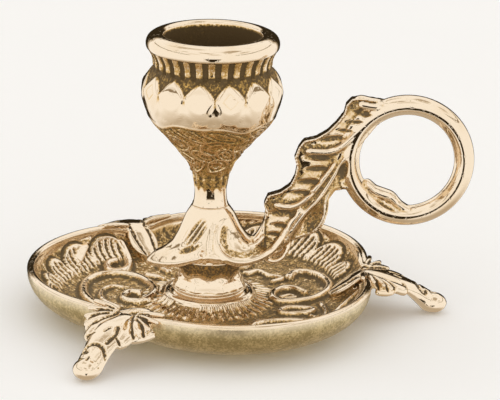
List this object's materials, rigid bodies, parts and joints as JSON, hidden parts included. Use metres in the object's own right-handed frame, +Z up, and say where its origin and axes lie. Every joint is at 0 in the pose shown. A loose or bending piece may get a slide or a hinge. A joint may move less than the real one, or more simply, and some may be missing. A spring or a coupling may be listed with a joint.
{
  "type": "chamber candlestick",
  "caption": "Low brass chamber candlestick: tulip candle cup on a waisted stem, leaf handle with a finger ring, and a lobed drip tray on leaf feet.",
  "frame": {"origin": "stem axis at table level, which is the plane through the pads under the three toes", "axes": "+Z up along the stem; +X towards the handle and its finger ring, along the longest extent; +Y to the rear"},
  "size_m": [0.106, 0.1008, 0.0685],
  "materials": {
    "tray_brass": "cast and polished, with dark patina left in the relief and a satin outside",
    "leaf_brass": "cast and polished, with dark patina left in the folds",
    "stem_brass": "bright polish on the ribs, dark patina in the hollows",
    "cup_brass": "bright polish on the flats and lip, dark patina in the flutes and foliage",
    "rod_steel": "plain machined steel",
    "nut_brass": "dull machined brass"
  },
  "bodies": {
    "root": {"tray": "tray_brass", "foot_front": "leaf_brass", "foot_right": "leaf_brass", "foot_rear": "leaf_brass", "pedestal": "stem_brass", "handle": "stem_brass", "candle_cup": "cup_brass", "tie_rod": "rod_steel", "washer": "rod_steel", "nut": "nut_brass"}
  },
  "joints": []
}
